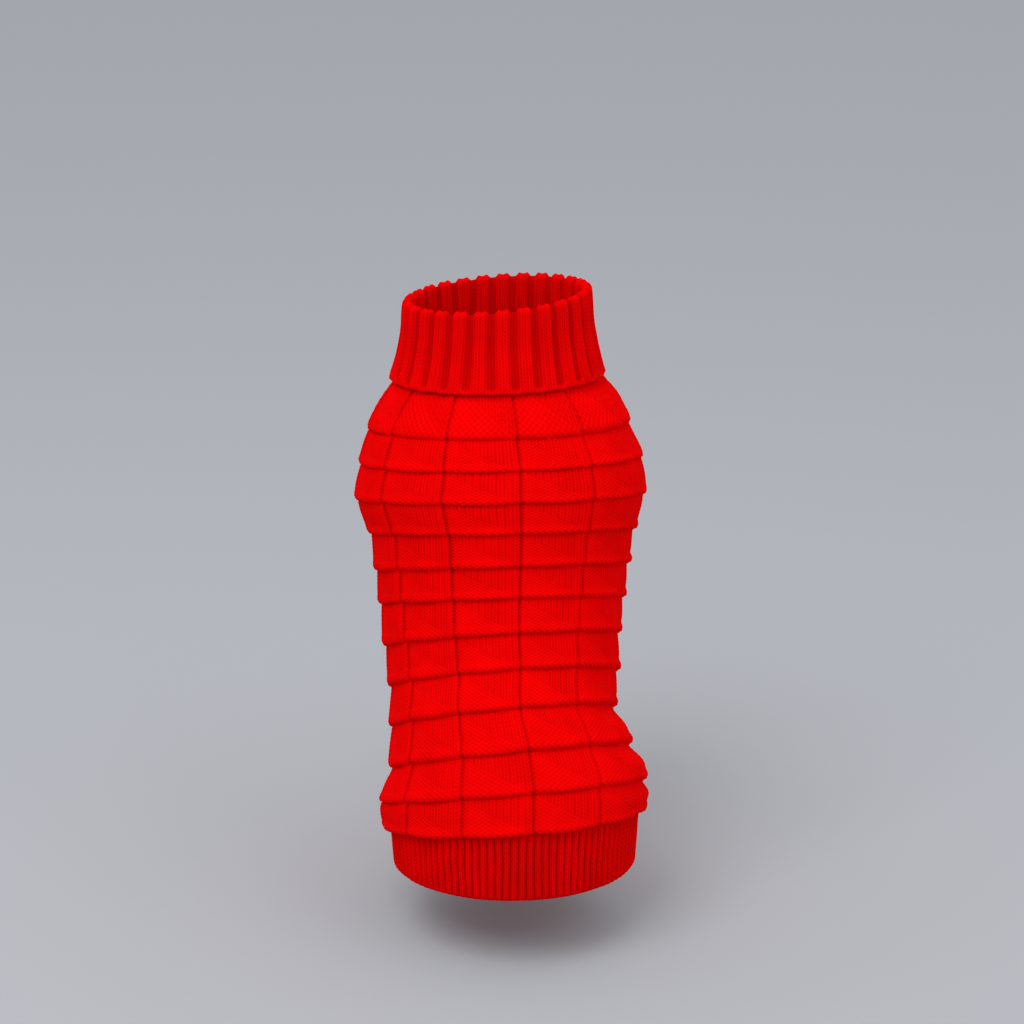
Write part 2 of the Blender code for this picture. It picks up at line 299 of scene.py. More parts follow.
ROLL_TUCK_HEIGHT = 0.06
KNIT_LIFT = 0.35
RIDGE_LIFT = 0.8
RIDGE_AT = 9.35
RIDGE_SPREAD = 0.55
EDGE_SINK = 0.9
EDGE_AT = 0.1
EDGE_SPREAD = 0.5
PIT_AT = 0.05
PIT_SPREAD = 0.3
BLOCK_SAG = 0.9
SAG_UNEVEN = (0.5, 1.3)


def block_relief(local, row):
    """How far each place of a block stands out, in millimetres, and how much of it is knit rather than purl.
    local counts stitches from the block's left edge, and row counts rows down from its top."""
    knit = np.clip(local - row + 0.5, 0.0, 1.0)
    relief = KNIT_LIFT * knit
    relief = relief + RIDGE_LIFT * np.exp(-(((local - RIDGE_AT) / RIDGE_SPREAD) ** 2))
    relief = relief - EDGE_SINK * np.exp(-(((local - EDGE_AT) / EDGE_SPREAD) ** 2))
    return relief, knit


def back_panel_grids():
    """The outer face's points and marks, the plain inner face's points, and the rows and columns of the outer
    face that the inner face's points stand behind."""
    steps = BLOCK_ROWS * STEPS_A_ROW
    inner_gap = steps // INNER_STEPS
    stitch = np.arange(PANEL_STITCHES * STEPS_A_STITCH + 1) / STEPS_A_STITCH
    local = (stitch + FIRST_BLOCK_CUT) % BLOCK_STITCHES
    block = ((stitch + FIRST_BLOCK_CUT) // BLOCK_STITCHES).astype(int)
    blocks = block.max() + 1
    through = 1 - ROLL_FADE * np.clip((local - ROLL_FADE_FROM) / ROLL_FADE_STITCHES, 0, 1)
    pit = np.exp(-(((local - PIT_AT) / PIT_SPREAD) ** 2))
    uneven = np.random.default_rng(11)
    t = np.arange(steps + 1) / steps
    outer = {"points": [], "along": [], "knit": [], "curl": [], "pit": []}
    inner_points = []
    for course, (top, bottom) in enumerate(zip(COURSE_ENDS[:-1], COURSE_ENDS[1:])):
        step = STEP_SHOWN * form("step", top)
        swell = -step * (1 - t) ** COURSE_FLARE
        drop = top + COURSE_TUCK + (bottom - top - COURSE_TUCK) * t
        if course == 0:
            drop[0] = top + SEAM_GAP
        most_sag = BLOCK_SAG * uneven.uniform(*SAG_UNEVEN, blocks)[block]
        sag = most_sag * np.sin(math.pi * local / BLOCK_STITCHES)
        roll_size = uneven.uniform(*ROLL_UNEVEN, blocks)[block]
        relief, knit = block_relief(local[None, :], BLOCK_ROWS * t[:, None])
        curl = np.exp(-(((t[:, None] - ROLL_CENTRE) / ROLL_HEIGHT) ** 2)) * (roll_size * through)[None, :]
        tucked = np.clip((t[:, None] - ROLL_TUCK_FROM) / ROLL_TUCK_HEIGHT, 0, 1)
        tuck = tucked**2 * through[None, :]
        offset = swell[:, None] + relief + ROLL_LIFT * curl - ROLL_TUCK * tuck
        place = drop[:, None] + (sag[None, :] * (t[:, None] if course else t[:, None] ** 2))
        nominal = -SEAM_ANGLE + 2 * SEAM_ANGLE * stitch / PANEL_STITCHES
        left = panel_edge(drop, swell, -1, -1)[:, None]
        right = panel_edge(drop, swell, 1, -1)[:, None]
        edge = np.where(nominal < 0, left, right)
        beyond = (np.abs(nominal) - SQUEEZE_FROM) / (SEAM_ANGLE - SQUEEZE_FROM)
        squeezed = SQUEEZE_FROM + beyond * (edge - SQUEEZE_FROM)
        angle = np.where(beyond > 0, np.sign(nominal) * squeezed, nominal)
        outer["points"].append(ring_points(place, angle, offset))
        outer["along"].append(np.broadcast_to((course + t[:, None]) * BLOCK_ROWS, angle.shape))
        outer["knit"].append(knit)
        outer["curl"].append(curl)
        outer["pit"].append(np.broadcast_to(pit, angle.shape))
        inner = ring_points(place, angle, INNER_FOLLOWS * swell[:, None] - KNIT_WALL)
        inner_points.append(inner[::inner_gap, ::STEPS_A_STITCH])
    outer = {name: np.concatenate(rows) for name, rows in outer.items()}
    outer["across"] = np.broadcast_to(stitch, outer["along"].shape)
    rows = []
    for course in range(len(COURSE_ENDS) - 1):
        rows += [course * (steps + 1) + k for k in range(0, steps + 1, inner_gap)]
    return outer, np.concatenate(inner_points), rows, list(range(0, len(stitch), STEPS_A_STITCH))


def wall_faces(outer_shape, rows, columns):
    """Faces of a closed wall. The outer grid's points come first, then the inner grid's, whose points stand
    behind the outer grid's at the given rows and columns."""
    height, width = outer_shape
    front = np.arange(height * width).reshape(height, width)
    behind = height * width + np.arange(len(rows) * len(columns)).reshape(len(rows), len(columns))
    quads = np.stack([front[:-1, :-1], front[1:, :-1], front[1:, 1:], front[:-1, 1:]], -1).reshape(-1, 4)
    faces = quads.tolist()
    quads = np.stack([behind[:-1, :-1], behind[:-1, 1:], behind[1:, 1:], behind[1:, :-1]], -1).reshape(-1, 4)
    faces += quads.tolist()
    for k, (here, after) in enumerate(zip(columns[:-1], columns[1:])):
        faces.append(front[0, here:after + 1].tolist() + [behind[0, k + 1], behind[0, k]])
        faces.append(front[-1, here:after + 1][::-1].tolist() + [behind[-1, k], behind[-1, k + 1]])
    for k, (here, after) in enumerate(zip(rows[:-1], rows[1:])):
        faces.append(front[here:after + 1, 0][::-1].tolist() + [behind[k, 0], behind[k + 1, 0]])
        faces.append(front[here:after + 1, -1].tolist() + [behind[k + 1, -1], behind[k, -1]])
    return faces


SHARP_ANGLE = math.radians(100)


def cloth_object(name, points, faces, marks, around=None):
    """A mesh from points in millimetres. marks are its point attributes, of which across and along also make
    the UV map, in stitches and rows. around is the stitch count at which across starts again."""
    mesh = bpy.data.meshes.new(name)
    mesh.from_pydata((points * MM).tolist(), [], faces)
    for mark, values in marks.items():
        kind = "FLOAT_VECTOR" if values.ndim == 2 else "FLOAT"
        entry = "vector" if values.ndim == 2 else "value"
        layer = mesh.attributes.new(mark, kind, "POINT")
        layer.data.foreach_set(entry, values.astype(np.float32).ravel())
    corners = np.zeros(len(mesh.loops), np.int32)
    mesh.loops.foreach_get("vertex_index", corners)
    across = marks["across"][corners]
    if around is not None:
        starts = np.array([face.loop_start for face in mesh.polygons])
        totals = np.array([face.loop_total for face in mesh.polygons])
        highest = np.repeat(np.maximum.reduceat(across, starts), totals)
        across = np.where(highest - across > around / 2, across + around, across)
    uv = np.stack([across, marks["along"][corners]], -1)
    mesh.uv_layers.new(name="stitches").data.foreach_set("uv", uv.astype(np.float32).ravel())
    mesh.shade_smooth()
    mesh.set_sharp_from_angle(angle=SHARP_ANGLE)
    thing = bpy.data.objects.new(name, mesh)
    bpy.context.scene.collection.objects.link(thing)
    return thing


def sideways(points):
    """The unit direction across the stitches at each point of a grid."""
    run = np.gradient(points, axis=1)
    return run / np.maximum(np.linalg.norm(run, axis=-1, keepdims=True), 1e-9)


class Reading:
    """A number read at each point of a node tree. Arithmetic on it adds nodes to the tree."""

    def __init__(self, tree, socket):
        self.tree = tree
        self.socket = socket

    def math(self, operation, *others):
        node = self.tree.nodes.new("ShaderNodeMath")
        node.operation = operation
        for entry, value in zip(node.inputs, (self,) + others):
            if isinstance(value, Reading):
                self.tree.links.new(value.socket, entry)
            else:
                entry.default_value = value
        return Reading(self.tree, node.outputs[0])

    def __add__(self, other):
        return self.math("ADD", other)

    def __sub__(self, other):
        return self.math("SUBTRACT", other)

    def __mul__(self, other):
        return self.math("MULTIPLY", other)

    def __truediv__(self, other):
        return self.math("DIVIDE", other)

    def less_from(self, number):
        return (self * -1) + number

    def part(self):
        return self.math("FRACT")

    def size(self):
        return self.math("ABSOLUTE")

    def swing(self, turns=1.0):
        """A wave between -1 and 1 that is 1 where the reading is whole."""
        return (self * (2 * math.pi * turns)).math("COSINE")

    def hump(self, centre, width):
        """A soft bump of height 1 at centre."""
        away = (self - centre) / width
        return (away * away * -1).math("EXPONENT")

    def ramp(self, low, high):
        """0 below low, 1 above high, and smooth between."""
        node = self.tree.nodes.new("ShaderNodeMapRange")
        node.interpolation_type = "SMOOTHSTEP"
        for entry, value in zip(node.inputs, (self, low, high, 0.0, 1.0)):
            if isinstance(value, Reading):
                self.tree.links.new(value.socket, entry)
            else:
                entry.default_value = value
        return Reading(self.tree, node.outputs[0])


def relief_tree(name, sizes):
    """A Geometry Nodes tree with the named sizes as inputs. Returns the tree, its input node, the readings of
    the sizes by name and a function that reads a point attribute."""
    tree = bpy.data.node_groups.new(name, "GeometryNodeTree")
    tree.interface.new_socket("Geometry", in_out="INPUT", socket_type="NodeSocketGeometry")
    for size in sizes:
        tree.interface.new_socket(size, in_out="INPUT", socket_type="NodeSocketFloat")
    tree.interface.new_socket("Yarn", in_out="INPUT", socket_type="NodeSocketMaterial")
    tree.interface.new_socket("Geometry", in_out="OUTPUT", socket_type="NodeSocketGeometry")
    entry = tree.nodes.new("NodeGroupInput")
    readings = {size: Reading(tree, entry.outputs[size]) for size in sizes}

    def mark(attribute, kind="FLOAT"):
        node = tree.nodes.new("GeometryNodeInputNamedAttribute")
        node.data_type = kind
        node.inputs["Name"].default_value = attribute
        return Reading(tree, node.outputs["Attribute"])

    return tree, entry, readings, mark


def wander(tree, seed, size):
    """A smooth uneven reading between about -1 and 1 over the piece. size is in waves to a metre."""
    noise = tree.nodes.new("ShaderNodeTexNoise")
    noise.noise_dimensions = "4D"
    noise.inputs["Detail"].default_value = 1.0
    noise.inputs["Scale"].default_value = size
    tree.links.new(seed.socket, noise.inputs["W"])
    place = tree.nodes.new("GeometryNodeInputPosition")
    tree.links.new(place.outputs[0], noise.inputs["Vector"])
    return (Reading(tree, noise.outputs[0]) - 0.5) * 2


def finish_relief(tree, entry, height, aside, side_direction, painted_shade_mask):
    """Moves each point out by height and sideways by aside, stores the mask of painted shade for the colour,
    then ends the tree.
    """
    normal = tree.nodes.new("GeometryNodeInputNormal")
    out = tree.nodes.new("ShaderNodeVectorMath")
    out.operation = "SCALE"
    tree.links.new(normal.outputs[0], out.inputs[0])
    tree.links.new(height.socket, out.inputs["Scale"])
    over = tree.nodes.new("ShaderNodeVectorMath")
    over.operation = "SCALE"
    tree.links.new(side_direction.socket, over.inputs[0])
    tree.links.new(aside.socket, over.inputs["Scale"])
    both = tree.nodes.new("ShaderNodeVectorMath")
    tree.links.new(out.outputs[0], both.inputs[0])
    tree.links.new(over.outputs[0], both.inputs[1])
    move = tree.nodes.new("GeometryNodeSetPosition")
    tree.links.new(entry.outputs["Geometry"], move.inputs["Geometry"])
    tree.links.new(both.outputs[0], move.inputs["Offset"])
    # Stores the mask of painted shade that darkens the yarn's colour at each point.
    note = tree.nodes.new("GeometryNodeStoreNamedAttribute")
    note.data_type = "FLOAT"
    note.domain = "POINT"
    note.inputs["Name"].default_value = "painted_shade_mask"
    tree.links.new(move.outputs[0], note.inputs["Geometry"])
    tree.links.new(painted_shade_mask.socket, note.inputs["Value"])
    real = tree.nodes.new("GeometryNodeRealizeInstances")
    tree.links.new(note.outputs[0], real.inputs[0])
    colour = tree.nodes.new("GeometryNodeSetMaterial")
    tree.links.new(real.outputs[0], colour.inputs["Geometry"])
    tree.links.new(entry.outputs["Yarn"], colour.inputs["Material"])
    done = tree.nodes.new("NodeGroupOutput")
    tree.links.new(colour.outputs[0], done.inputs["Geometry"])
    return tree


KNIT_WAVES_OUT = 90.0
KNIT_WAVES_ASIDE = 55.0
ASIDE_SEED = 5.0


def knit_and_purl_tree():
    """Stitches in relief: knit as two legs to a stitch, purl as staggered bumps that slant in the curled
    foot of a course, and a pit between rows where one block tucks behind the next."""
    sizes = ("Knit Height", "Purl Height", "Curl Height", "Pit Depth", "Sway", "Seed")
    tree, entry, size, mark = relief_tree("knit_and_purl", sizes)
    across = mark("across")
    along = mark("along")
    knit = mark("knit")
    curl = mark("curl")
    legs = across.swing(2).less_from(1) * 0.32 + across.swing().less_from(1) * 0.18
    legs = legs * (along.swing() * 0.12 + 0.88)
    bumps = (across.swing() * along.swing()).less_from(1) * 0.5
    slanted = (across + along * 0.5).swing() * -0.5 + 0.5
    knit_relief = legs * size["Knit Height"]
    purl_relief = bumps * size["Purl Height"] + slanted * curl * size["Curl Height"]
    height = purl_relief + (knit_relief - purl_relief) * knit
    height = height - mark("pit") * (along.swing() * 0.5 + 0.5) * size["Pit Depth"]
    height = height + wander(tree, size["Seed"], KNIT_WAVES_OUT) * size["Sway"]
    aside = wander(tree, size["Seed"] + ASIDE_SEED, KNIT_WAVES_ASIDE) * size["Sway"] * 2.0
    worked = mark("worked")
    # Painted shade: the pits where one block tucks behind the next are marked to darken the colour.
    painted_shade_mask = mark("pit") * 0.8
    side = mark("sideways", "FLOAT_VECTOR")
    return finish_relief(tree, entry, height * worked, aside * worked, side, painted_shade_mask)


def work_relief(thing, tree, settings):
    """Runs the tree on the piece and keeps the result as its plain mesh."""
    modifier = thing.modifiers.new("relief", "NODES")
    modifier.node_group = tree
    for item in tree.interface.items_tree:
        if item.in_out == "INPUT" and item.name in settings:
            modifier[item.identifier] = settings[item.name]
    graph = bpy.context.evaluated_depsgraph_get()
    mesh = bpy.data.meshes.new_from_object(
        thing.evaluated_get(graph), preserve_all_data_layers=True, depsgraph=graph
    )
    thing.modifiers.clear()
    thing.data = mesh
    mesh.name = thing.name
    return thing


def yarn_group():
    """Shading of one soft yarn worked in knit or purl: the legs and bumps of the stitches, the twist of the
    yarn, and its fuzz. Gives the colour, the roughness and the height for a bump. The colour holds painted
    shade: darker down between the stitches and where the mask of painted shade is high, with random tone."""
    group = bpy.data.node_groups.new("soft_yarn", "ShaderNodeTree")
    for label, kind in (
        ("Stitches", "NodeSocketVector"),
        ("Place", "NodeSocketVector"),
        ("Knit", "NodeSocketFloat"),
        ("Painted Shade Mask", "NodeSocketFloat"),
        ("Lit Colour", "NodeSocketColor"),
        ("Painted Shade Colour", "NodeSocketColor"),
    ):
        group.interface.new_socket(label, in_out="INPUT", socket_type=kind)
    for label, kind in (
        ("Colour", "NodeSocketColor"),
        ("Roughness", "NodeSocketFloat"),
        ("Height", "NodeSocketFloat"),
    ):
        group.interface.new_socket(label, in_out="OUTPUT", socket_type=kind)
    entry = group.nodes.new("NodeGroupInput")
    done = group.nodes.new("NodeGroupOutput")
    split = group.nodes.new("ShaderNodeSeparateXYZ")
    group.links.new(entry.outputs["Stitches"], split.inputs[0])
    across = Reading(group, split.outputs["X"])
    along = Reading(group, split.outputs["Y"])
    knit = Reading(group, entry.outputs["Knit"])

    def fuzz(scale, detail):
        noise = group.nodes.new("ShaderNodeTexNoise")
        noise.inputs["Scale"].default_value = scale
        noise.inputs["Detail"].default_value = detail
        group.links.new(entry.outputs["Place"], noise.inputs["Vector"])
        return Reading(group, noise.outputs[0])

    from_middle = (across.part() - 0.5).size()
    leg_line = along.part().less_from(1) * 0.2 + 0.15
    leg = (from_middle - leg_line).hump(0.0, 0.12)
    twist = (across * 1.5 + along * 1.0).swing(2) * 0.5 + 0.5
    knit_height = leg * (twist * 0.25 + 0.75)
    arcs = (across.swing() * along.swing()).less_from(1) * 0.5
    purl_height = arcs * (twist * 0.3 + 0.7)
    height = purl_height + (knit_height - purl_height) * knit
    height = height * 0.7 + fuzz(1900.0, 3.0) * 0.5
    # Painted shade: the colour darkens where the mask of painted shade is high, in the pits between blocks
    # and in the rib valleys.
    open_to_light = Reading(group, entry.outputs["Painted Shade Mask"]).less_from(1) * 0.6 + 0.4
    # Painted shade between the stitches: low yarn height takes the painted shade colour. The coarse noise
    # adds random tone that the yarn has.
    shade = (height * 0.75 + fuzz(60.0, 2.0) * 0.35) * open_to_light
    colour = group.nodes.new("ShaderNodeMix")
    colour.data_type = "RGBA"
    group.links.new(shade.ramp(-0.1, 0.9).socket, colour.inputs["Factor"])
    group.links.new(entry.outputs["Painted Shade Colour"], colour.inputs["A"])
    group.links.new(entry.outputs["Lit Colour"], colour.inputs["B"])
    group.links.new(colour.outputs["Result"], done.inputs["Colour"])
    group.links.new((fuzz(700.0, 2.0) * 0.15 + 0.85).socket, done.inputs["Roughness"])
    group.links.new(height.socket, done.inputs["Height"])
    return group


SOFT_YARN = yarn_group()
LIT_GREEN_BLUE = (0.0004, 0.0008, 1.0)
# Green and blue of the painted shade colour down between the stitches.
PAINTED_SHADE_GREEN_BLUE = (0.0002, 0.0004, 1.0)
BUMP_STRENGTH = 0.7
BUMP_DISTANCE = 0.7 * MM
YARN_SPECULAR = 0.01
SHEEN_WEIGHT = 0.18
SHEEN_ROUGHNESS = 0.5
SHEEN_TINT = (1.0, 0.002, 0.003, 1.0)


def yarn_material(name, lit_red, painted_shade_red):
    """The yarn of one piece, from how red it is on its stitches and the darker red of painted shade
    down between them.
    """
    material = bpy.data.materials.new(name)
    material.use_nodes = True
    nodes = material.node_tree.nodes
    links = material.node_tree.links
    shader = nodes["Principled BSDF"]
    stitches = nodes.new("ShaderNodeUVMap")
    stitches.uv_map = "stitches"
    knit = nodes.new("ShaderNodeAttribute")
    knit.attribute_name = "knit"
    place = nodes.new("ShaderNodeTexCoord")
    yarn = nodes.new("ShaderNodeGroup")
    yarn.node_tree = SOFT_YARN
    yarn.inputs["Lit Colour"].default_value = (lit_red, *LIT_GREEN_BLUE)
    yarn.inputs["Painted Shade Colour"].default_value = (painted_shade_red, *PAINTED_SHADE_GREEN_BLUE)
    links.new(stitches.outputs["UV"], yarn.inputs["Stitches"])
    links.new(knit.outputs["Fac"], yarn.inputs["Knit"])
    # The mask of painted shade stored by the relief tree darkens the colour in pits and valleys.
    painted_shade_mask = nodes.new("ShaderNodeAttribute")
    painted_shade_mask.attribute_name = "painted_shade_mask"
    links.new(painted_shade_mask.outputs["Fac"], yarn.inputs["Painted Shade Mask"])
    links.new(place.outputs["Object"], yarn.inputs["Place"])
    links.new(yarn.outputs["Colour"], shader.inputs["Base Color"])
    links.new(yarn.outputs["Roughness"], shader.inputs["Roughness"])
    bump = nodes.new("ShaderNodeBump")
    bump.inputs["Strength"].default_value = BUMP_STRENGTH
    bump.inputs["Distance"].default_value = BUMP_DISTANCE
    links.new(yarn.outputs["Height"], bump.inputs["Height"])
    links.new(bump.outputs["Normal"], shader.inputs["Normal"])
    shader.inputs["Specular IOR Level"].default_value = YARN_SPECULAR
    shader.inputs["Sheen Weight"].default_value = SHEEN_WEIGHT
    shader.inputs["Sheen Roughness"].default_value = SHEEN_ROUGHNESS
    shader.inputs["Sheen Tint"].default_value = SHEEN_TINT
    return material


# The second red is painted shade, for the colour down between the stitches and in the pits.
BODY_RED = yarn_material("body_yarn", 0.93, 0.44)


def both_faces(outer, inner):
    """One list of vectors, the outer face's first, from the grids of the two faces."""
    return np.concatenate([outer.reshape(-1, 3), inner.reshape(-1, 3)])


def back_panel():
    outer, inner, rows, columns = back_panel_grids()
    points = both_faces(outer["points"], inner)
    border = np.ones(outer["along"].shape)
    border[[0, -1], :] = 0
    border[:, [0, -1]] = 0
    marks = {}
    for name in ("across", "along", "knit", "curl", "pit"):
        behind = outer[name][np.ix_(rows, columns)]
        behind = 1 - behind if name == "knit" else behind
        marks[name] = np.concatenate([outer[name].ravel(), behind.ravel()])
    marks["worked"] = np.concatenate([border.ravel(), np.zeros(inner.shape[:2]).ravel()])
    marks["sideways"] = both_faces(sideways(outer["points"]), sideways(inner))
    panel = cloth_object("back_panel_knit", points, wall_faces(outer["along"].shape, rows, columns), marks)
    settings = {
        "Knit Height": 0.75 * MM,
        "Purl Height": 0.6 * MM,
        "Curl Height": 1.0 * MM,
        "Pit Depth": 1.0 * MM,
        "Sway": 0.2 * MM,
        "Seed": 3.0,
        "Yarn": BODY_RED,
    }
    work_relief(panel, knit_and_purl_tree(), settings)
    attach(panel, "root")
    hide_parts("back_panel")


back_panel()

# ---- Belly panel --------------------------------------------------------------------------------------
# The narrow stretch panel under the chest and belly, in plain one-and-one rib of the same yarn. Its two
# long sides are linked to the back panel, and each is hollowed for a leg.

BELLY_RIBS = 33
BELLY_ROWS = 136
BELLY_INNER_STEP = 4
BELLY_INSET = 0.6
BELLY_ROW_HEIGHT = 2.1
RIB_PERIOD = 2
RIB_WAVES_OUT = 70.0
RIB_WAVES_ASIDE = 38.0
FAR_FROM_EDGE = 9.0


def rib_tree():
    """Ribs in relief: knit wales that stand between sunken purl valleys. Each valley ends in a round cup
    above the free edge, and a raised lip runs round it."""
    sizes = (
        "Stitches a Rib",
        "Valley Half Width",
        "Cup Height",
        "Rib Depth",
        "Lip Height",
        "Wale Groove",
        "Leg Height",
        "Sway",
        "Seed",
    )
    tree, entry, size, mark = relief_tree("ribs", sizes)
    across = mark("across")
    along = mark("along")
    period = size["Stitches a Rib"]
    turn = (across / period).part()
    from_valley = (turn - 0.5).size() * period
    below = (size["Cup Height"] - mark("rise")).math("MAXIMUM", 0.0)
    out_of_valley = (from_valley * from_valley + below * below).math("SQRT") - size["Valley Half Width"]
    standing = out_of_valley.ramp(-0.45, 0.3)
    height = (standing - 1.0) * size["Rib Depth"]
    height = height + out_of_valley.hump(0.32, 0.3) * size["Lip Height"]
    middle = (from_valley - period * 0.5) / 0.2
    height = height - (middle * middle * -1).math("EXPONENT") * size["Wale Groove"] * standing
    legs = across.swing(2).less_from(1) * 0.5 + along.swing() * 0.25
    height = height + legs * size["Leg Height"] * standing
    height = height - (along.swing() * standing.less_from(1)) * size["Leg Height"]
    height = height + wander(tree, size["Seed"], RIB_WAVES_OUT) * size["Sway"]
    aside = wander(tree, size["Seed"] + ASIDE_SEED, RIB_WAVES_ASIDE) * size["Sway"] * 3.0
    worked = mark("worked")
    # Painted shade: the sunken valleys between the ribs are marked to darken the colour.
    painted_shade_mask = standing.less_from(1) * worked
    side = mark("sideways", "FLOAT_VECTOR")
    return finish_relief(tree, entry, height * worked, aside * worked, side, painted_shade_mask)


RIBS = rib_tree()
# The second red is painted shade, for the colour down in the rib valleys.
BELLY_RED = yarn_material("belly_yarn", 0.90, 0.40)


def belly_panel():
    stitches = BELLY_RIBS * RIB_PERIOD
    stitch = np.arange(stitches * STEPS_A_STITCH + 1) / STEPS_A_STITCH
    drop = np.linspace(COURSE_ENDS[0] + SEAM_GAP, COURSE_ENDS[-1], BELLY_ROWS + 1)
    offset = np.full_like(drop, -BELLY_INSET)
    right = panel_edge(drop, offset, 1, 1)[:, None]
    left = 360 - panel_edge(drop, offset, -1, 1)[:, None]
    angle = left + (right - left) * (stitch / stitches)[None, :]
    outer = ring_points(drop[:, None], angle, -BELLY_INSET)
    rows = list(range(0, BELLY_ROWS + 1, BELLY_INNER_STEP))
    columns = list(range(0, len(stitch), BELLY_INNER_STEP))
    spots = np.ix_(rows, columns)
    inner = ring_points(drop[rows][:, None], angle[spots], -BELLY_INSET - KNIT_WALL)
    across = np.broadcast_to(stitch, angle.shape)
    along = np.broadcast_to(drop[:, None] / BELLY_ROW_HEIGHT, angle.shape)
    worked = np.ones(angle.shape)
    worked[[0, -1], :] = 0
    worked[:, [0, -1]] = 0
    marks = {
        "across": np.concatenate([across.ravel(), across[spots].ravel()]),
        "along": np.concatenate([along.ravel(), along[spots].ravel()]),
        "worked": np.concatenate([worked.ravel(), np.zeros(inner.shape[:2]).ravel()]),
    }
    marks["knit"] = np.ones_like(marks["across"])
    marks["rise"] = np.full_like(marks["across"], FAR_FROM_EDGE)
    marks["sideways"] = both_faces(sideways(outer), sideways(inner))
    points = both_faces(outer, inner)
    panel = cloth_object("belly_panel_rib", points, wall_faces(angle.shape, rows, columns), marks)
    settings = {
        "Stitches a Rib": float(RIB_PERIOD),
        "Valley Half Width": 0.4,
        "Cup Height": 0.0,
        "Rib Depth": 1.0 * MM,
        "Lip Height": 0.1 * MM,
        "Wale Groove": 0.0,
        "Leg Height": 0.15 * MM,
        "Sway": 0.25 * MM,
        "Seed": 8.0,
        "Yarn": BELLY_RED,
    }
    work_relief(panel, RIBS, settings)
    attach(panel, "root")
    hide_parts("belly_panel")


belly_panel()

# ---- Rib hem -----------------------------------------------------------------------------------------
# A band of one-and-one rib all round below the last course, in the same yarn. It draws in under that
# course, waves a little, and ends in an elastic cast-off edge.

HEM_RIBS = 100
HEM_ROW_HEIGHT = 2.0
HEM_STITCH_WIDTH = 2.1
HEM_SEAM_INSET = 1.6
HEM_INSET = 3.0
HEM_GATHER = 3.0
RIB_WALL = 2.5


def tube_faces(loops, columns):
    """Faces of a tube wall whose section is itself a closed loop, numbered loop by loop."""
    grid = np.arange(loops * columns).reshape(loops, columns)
    down = np.roll(grid, -1, axis=0)
    right = np.roll(grid, -1, axis=1)
    both = np.roll(down, -1, axis=1)
    return np.stack([grid, down, both, right], -1).reshape(-1, 4).tolist()


def spread(stations, counts):
    """Rows of a table with evenly spaced rows added, counts of them from each station to the next."""
    stations = np.asarray(stations, float)
    rows = [
        here + (after - here) * k / count
        for here, after, count in zip(stations, np.roll(stations, -1, axis=0), counts)
        for k in range(count)
    ]
    return np.array(rows)


def rib_tube(name, points, worked, rise, stitches, row_height, settings, colour):
    """A closed rib wall from its loops of points. worked and rise have one value for each loop."""
    loops, columns, _ = points.shape
    stitch = np.arange(columns) * stitches / columns
    steps = np.linalg.norm(np.diff(points, axis=0), axis=-1).mean(axis=1)
    along = np.concatenate([[0.0], np.cumsum(steps)]) / row_height
    run = np.roll(points, -1, axis=1) - np.roll(points, 1, axis=1)
    shape = (loops, columns)
    marks = {
        "across": np.broadcast_to(stitch[None, :], shape).ravel(),
        "along": np.broadcast_to(along[:, None], shape).ravel(),
        "worked": np.broadcast_to(np.asarray(worked)[:, None], shape).ravel(),
        "rise": np.broadcast_to(np.asarray(rise)[:, None], shape).ravel(),
        "knit": np.ones(loops * columns),
        "sideways": (run / np.linalg.norm(run, axis=-1, keepdims=True)).reshape(-1, 3),
    }
    tube = cloth_object(name, points.reshape(-1, 3), tube_faces(loops, columns), marks, around=stitches)
    return work_relief(tube, RIBS, dict(settings, Yarn=colour))


# The second red is painted shade, darker than the body's, for the colour down in the rib valleys.
HEM_RED = yarn_material("hem_yarn", 0.93, 0.28)


def hem_band():
    top = DROPS["hem_seam"] + SEAM_GAP
    bottom = DROPS["hem_edge"]
    face = -HEM_INSET
    back = -HEM_INSET - RIB_WALL
    # drop, offset, how much of the relief is worked there
    stations = [
        (top - 1.5, -HEM_SEAM_INSET - 0.9, 0),
        (top + HEM_GATHER, face, 1),
        (bottom - 1.2, face + 0.2, 1),
        (bottom - 0.3, face - 0.5, 1),
        (bottom, (face + back) / 2, 0.6),
        (bottom - 0.6, back + 0.3, 0.3),
        (top + HEM_GATHER, back, 0),
        (top - 1.5, -HEM_SEAM_INSET - RIB_WALL, 0),
    ]
    section = spread(stations, [3, 20, 2, 1, 1, 8, 1, 1])
    columns = HEM_RIBS * RIB_PERIOD * STEPS_A_STITCH
    angle = 360 * np.arange(columns) / columns
    drop, offset, worked = section.T
    points = ring_points(drop[:, None], angle[None, :], offset[:, None])
    rise = (bottom - drop) / HEM_STITCH_WIDTH
    settings = {
        "Stitches a Rib": float(RIB_PERIOD),
        "Valley Half Width": 0.36,
        "Cup Height": 0.5,
        "Rib Depth": 1.6 * MM,
        "Lip Height": 0.15 * MM,
        "Wale Groove": 0.0,
        "Leg Height": 0.15 * MM,
        "Sway": 0.4 * MM,
        "Seed": 21.0,
    }
    band = rib_tube(
        "hem_rib", points, worked, rise, HEM_RIBS * RIB_PERIOD, HEM_ROW_HEIGHT, settings, HEM_RED
    )
    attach(band, "root")
    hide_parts("hem_band")


hem_band()

# ---- Leg cuffs ---------------------------------------------------------------------------------------
# A short rib cuff in each leg opening, picked up round the hollowed panel edges and cast off. A raised
# ridge hides the join.

CUFF_CLEARANCE = 1.3
CUFF_LENGTH = 13.0
CUFF_INSIDE = 3.5
CUFF_RIBS = 42
CUFF_RIDGE = 2.6


